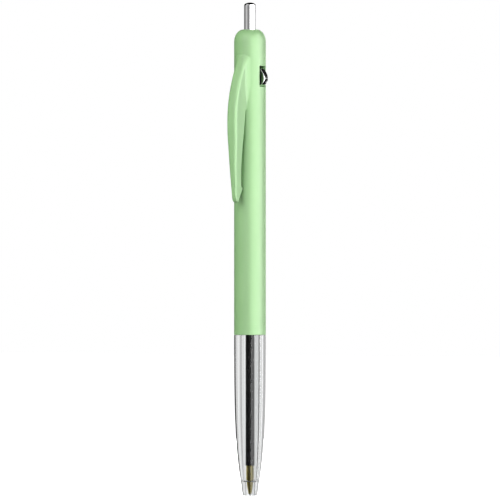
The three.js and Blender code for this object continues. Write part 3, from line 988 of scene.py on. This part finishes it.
# The same by height: (share of the way from straight down to straight up, brightness).
STUDIO_HEIGHT = [
    (0.0, 0.5),
    (0.18, 0.5),
    (0.32, 1.0),
    (1.0, 1.0),
]
# How bright the studio is for matt surfaces, which the area lights light instead.
MATT_AMBIENT = 0.12
# Name, degrees to the right of the camera, height, width, tallness and watts. They light matt surfaces.
LIGHTS = [
    ("front_light", -31, 0.45, 0.9, 1.0, 13.8),
    ("side_light", 98, 0.20, 0.6, 1.0, 7.0),
    ("back_light", 185, 0.30, 0.9, 1.0, 12.0),
]
LEVEL = (-40, 40)
# Name, degrees to the right of the camera, degrees above level, brightness, rays that see it. Each is
# a little further out than the last, so that where two overlap the earlier one is seen.
CARDS = [
    ("side_top_flag", (106, 150), (8, 84), 0.0, ["glossy"]),
    ("side_low_flag", (106, 128), (-84, 2), 0.0, ["glossy"]),
    ("side_floor_flag", (128, 179), (-84, -8), 0.0, ["glossy"]),
    ("left_card", (-90, -52), LEVEL, 0.62, ["glossy"]),
    ("key_edge_card", (-10, 6), LEVEL, 1.0, ["glossy"]),
    ("key_card", (6, 84), LEVEL, 6.8, ["glossy"]),
    ("side_card", (84, 106), LEVEL, 3.4, ["glossy"]),
    ("side_back_card", (128, 165), LEVEL, 0.80, ["glossy"]),
    ("left_flag", (-179, -148), LEVEL, 0.0, ["glossy"]),
    ("crown_flag", (92, 268), (12, 90), 0.0, ["glossy"]),
    ("crown_cap", (-92, 92), (58, 90), 0.0, ["glossy"]),
    ("crown_card", (-92, 92), (40, 58), 1.2, ["glossy"]),
    ("front_left_card", (-75, 25), LEVEL, 0.02, ["transmission"]),
    ("inner_key_card", (25, 52), LEVEL, 0.55, ["transmission"]),
    ("front_right_card", (52, 82), LEVEL, 0.06, ["transmission"]),
    ("right_flag", (82, 122), LEVEL, 0.0, ["transmission"]),
    ("right_side_card", (124, 148), LEVEL, 0.72, ["transmission"]),
    ("right_back_card", (148, 172), LEVEL, 0.60, ["transmission"]),
    ("back_card", (172, 195), LEVEL, 1.0, ["transmission"]),
    ("left_back_card", (195, 228), LEVEL, 0.80, ["transmission"]),
    ("left_side_card", (228, 250), LEVEL, 0.50, ["transmission"]),
    ("over_flag", (-180, 180), (40, 89), 0.05, ["transmission"]),
    ("under_flag", (-180, 180), (-89, -40), 0.05, ["transmission"]),
]


def add_ramp(tree, value, stops):
    ramp = tree.nodes.new("ShaderNodeValToRGB")
    elements = ramp.color_ramp.elements
    for position, _ in stops[1:-1]:
        elements.new(position)
    for element, (position, brightness) in zip(elements, stops):
        element.position = position
        element.color = (brightness, brightness, brightness, 1)
    tree.links.new(value, ramp.inputs["Fac"])
    return ramp.outputs["Color"]


def make_world():
    """The studio round the pen, which reflections see. The camera sees plain white behind the pen."""
    world = bpy.data.worlds.new("studio")
    bpy.context.scene.world = world
    world.use_nodes = True
    tree = world.node_tree
    towards, right = camera_directions()
    ray = tree.nodes.new("ShaderNodeTexCoord").outputs["Generated"]
    parts = []
    for direction in (right, towards, Vector((0, 0, 1))):
        dot = tree.nodes.new("ShaderNodeVectorMath")
        dot.operation = "DOT_PRODUCT"
        dot.inputs[1].default_value = direction
        tree.links.new(ray, dot.inputs[0])
        parts.append(dot.outputs["Value"])
    angle = tree.nodes.new("ShaderNodeMath")
    angle.operation = "ARCTAN2"
    tree.links.new(parts[0], angle.inputs[0])
    tree.links.new(parts[1], angle.inputs[1])
    turn = tree.nodes.new("ShaderNodeMapRange")
    turn.inputs["From Min"].default_value = -math.pi
    turn.inputs["From Max"].default_value = math.pi
    tree.links.new(angle.outputs["Value"], turn.inputs["Value"])
    rise = tree.nodes.new("ShaderNodeMapRange")
    rise.inputs["From Min"].default_value = -1.0
    tree.links.new(parts[2], rise.inputs["Value"])
    round_stops = [((degrees + 180) / 360, brightness) for degrees, brightness in STUDIO]
    both = tree.nodes.new("ShaderNodeMix")
    both.data_type = "RGBA"
    both.blend_type = "MULTIPLY"
    both.inputs["Factor"].default_value = 1.0
    tree.links.new(add_ramp(tree, turn.outputs["Result"], round_stops), both.inputs["A"])
    tree.links.new(add_ramp(tree, rise.outputs["Result"], STUDIO_HEIGHT), both.inputs["B"])
    rays = tree.nodes.new("ShaderNodeLightPath")
    result = both.outputs["Result"]
    for kind, brightness in (("Is Diffuse Ray", MATT_AMBIENT), ("Is Camera Ray", 1.0)):
        seen = tree.nodes.new("ShaderNodeMix")
        seen.data_type = "RGBA"
        seen.inputs["B"].default_value = (brightness, brightness, brightness, 1)
        tree.links.new(rays.outputs[kind], seen.inputs["Factor"])
        tree.links.new(result, seen.inputs["A"])
        result = seen.outputs["Result"]
    tree.links.new(result, tree.nodes["Background"].inputs["Color"])


def seen_only_by(thing, rays):
    """Let only the named kinds of ray see a light or a card of the studio."""
    thing.visible_camera = False
    thing.visible_diffuse = "diffuse" in rays
    thing.visible_glossy = "glossy" in rays
    thing.visible_transmission = "transmission" in rays


def make_area_light(name, degrees, height, width, tall, power):
    towards, right = camera_directions()
    angle = math.radians(degrees)
    direction = towards * math.cos(angle) + right * math.sin(angle)
    data = bpy.data.lights.new(name, "AREA")
    data.shape = "RECTANGLE"
    data.size = width
    data.size_y = tall
    data.energy = power
    light = bpy.data.objects.new(name, data)
    light.location = direction * LIGHT_DISTANCE + Vector((0, 0, height))
    aim = Vector((0, 0, 0)) - light.location
    light.rotation_euler = aim.to_track_quat("-Z", "Y").to_euler()
    seen_only_by(light, ["diffuse"])
    bpy.context.scene.collection.objects.link(light)


def make_card(distance, name, turn, rise, brightness, rays):
    """A studio card bent round the pen: degrees right of the camera, and degrees above level."""
    towards, right = camera_directions()
    across = np.radians(np.linspace(*turn, 25))
    up = np.radians(np.linspace(*rise, 13))
    vertices = []
    for angle in across:
        for height in up:
            level = towards * math.cos(angle) + right * math.sin(angle)
            place = level * math.cos(height) + Vector((0, 0, math.sin(height)))
            vertices.append(place * distance)
    mesh = bpy.data.meshes.new(name)
    mesh.from_pydata(vertices, [], grid_faces(len(across), len(up), False))
    card = bpy.data.objects.new(name, mesh)
    bpy.context.scene.collection.objects.link(card)
    finish = Finish(name, Specular_IOR_Level=0.0, Emission_Strength=brightness)
    finish.shader.inputs["Emission Color"].default_value = (1, 1, 1, 1)
    finish.colours(finish.noise(20.0), (0.001, 0.001, 0.001), (0.002, 0.002, 0.002))
    card.data.materials.append(finish.material)
    card.visible_shadow = False
    seen_only_by(card, rays)


def make_floor():
    """A wide pale sheet below every pose, bright enough to melt into the backdrop."""
    count = 24
    half = 3.0
    line = np.linspace(-half, half, count + 1)
    gx, gy = np.meshgrid(line, line, indexing="ij")
    vertices = np.column_stack([gx.ravel(), gy.ravel(), np.full(gx.size, FLOOR_Z)])
    faces = []
    for i in range(count):
        for j in range(count):
            a = i * (count + 1) + j
            faces.append([a, a + count + 1, a + count + 2, a + 1])
    mesh = bpy.data.meshes.new("floor")
    mesh.from_pydata(vertices.tolist(), [], faces)
    floor = bpy.data.objects.new("floor", mesh)
    bpy.context.scene.collection.objects.link(floor)
    finish = Finish("pale_floor", Roughness=0.9, Emission_Strength=0.95)
    finish.shader.inputs["Emission Color"].default_value = (1, 1, 1, 1)
    finish.colours(finish.noise(30.0), (0.80, 0.80, 0.80), (0.84, 0.84, 0.84))
    floor.data.materials.append(finish.material)
    floor.visible_glossy = False
    floor.visible_diffuse = False
    floor.visible_transmission = False


# ---------------------------------------------------------------- assembly

def dress(piece, node, body, material):
    piece.data.materials.append(material)
    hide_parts(node)
    if body is not None:
        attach(piece, body)
    return piece


def build_pen():
    black = black_plastic()
    clear = clear_plastic()
    strip_grain = (8, 1, 1)
    wire_grain = (1, 1, 4)
    dress(build_upper_barrel(), "upper_barrel", "barrel", green_plastic())
    dress(build_guide_sleeve(), "guide_sleeve", "barrel", black)
    dress(build_latch_pin(), "latch_pin", "barrel",
          rolled_steel("drawn_pin_steel", (0.62, 0.63, 0.64), 0.2, 0.3, strip_grain))
    dress(build_release_latch(), "release_latch", "latch",
          rolled_steel("rolled_latch_steel", (0.84, 0.84, 0.85), 0.08, 0.16, strip_grain))
    dress(build_push_button(), "push_button", "plunger", chrome())
    dress(build_plunger(), "plunger", "plunger", black)
    dress(build_spring_seat(), "spring_seat", "seat", black)
    dress(build_front_barrel(), "front_barrel", "front", clear)
    dress(build_nose_cone(), "nose_cone", "front", clear)
    dress(build_refill_tube(), "refill_tube", "plunger", refill_plastic())
    dress(build_ink_column(), "ink_column", "plunger", ink())
    dress(build_refill_plug(), "refill_plug", "plunger", plug_plastic())
    dress(build_tip_holder(), "tip_holder", "plunger", turned_brass())
    dress(build_writing_ball(), "writing_ball", "ball", carbide())
    spring = dress(build_return_spring(), "return_spring", None,
                   rolled_steel("drawn_spring_steel", (0.55, 0.56, 0.57), 0.18, 0.28, wire_grain))
    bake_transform(spring)


bpy.context.scene.view_settings.view_transform = "Standard"
build_pen()
make_floor()
make_world()
for light in LIGHTS:
    make_area_light(*light)
for order, card in enumerate(CARDS):
    make_card(CARD_DISTANCE + order * CARD_STEP, *card)
make_camera()
